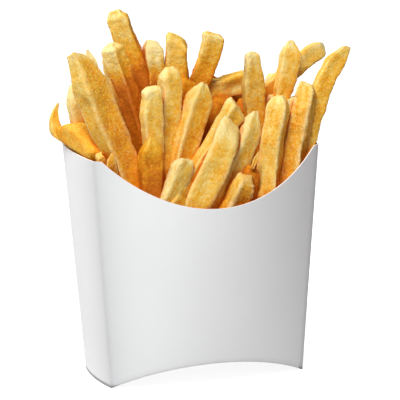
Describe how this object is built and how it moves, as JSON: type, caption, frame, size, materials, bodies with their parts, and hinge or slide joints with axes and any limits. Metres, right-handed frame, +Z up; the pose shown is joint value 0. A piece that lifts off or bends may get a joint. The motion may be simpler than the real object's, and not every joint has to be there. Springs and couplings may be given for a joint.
{
  "type": "french fries in a carton",
  "caption": "Heap of french fries standing in an open white paperboard carton with a scooped front edge, a raised back panel and a vaulted floor.",
  "frame": {"origin": "middle of the footprint of carton and fries together, on the surface that the carton stands on", "axes": "+Z up, -Y towards the scooped front panel, +X to the right as seen from the front"},
  "size_m": [0.1356, 0.0942, 0.1704],
  "materials": {
    "paperboard": "smooth uncoated white paperboard",
    "fried_potato": "golden fried crust, slightly oily"
  },
  "bodies": {
    "root": {"carton": "paperboard", "fries": "fried_potato"}
  },
  "joints": []
}
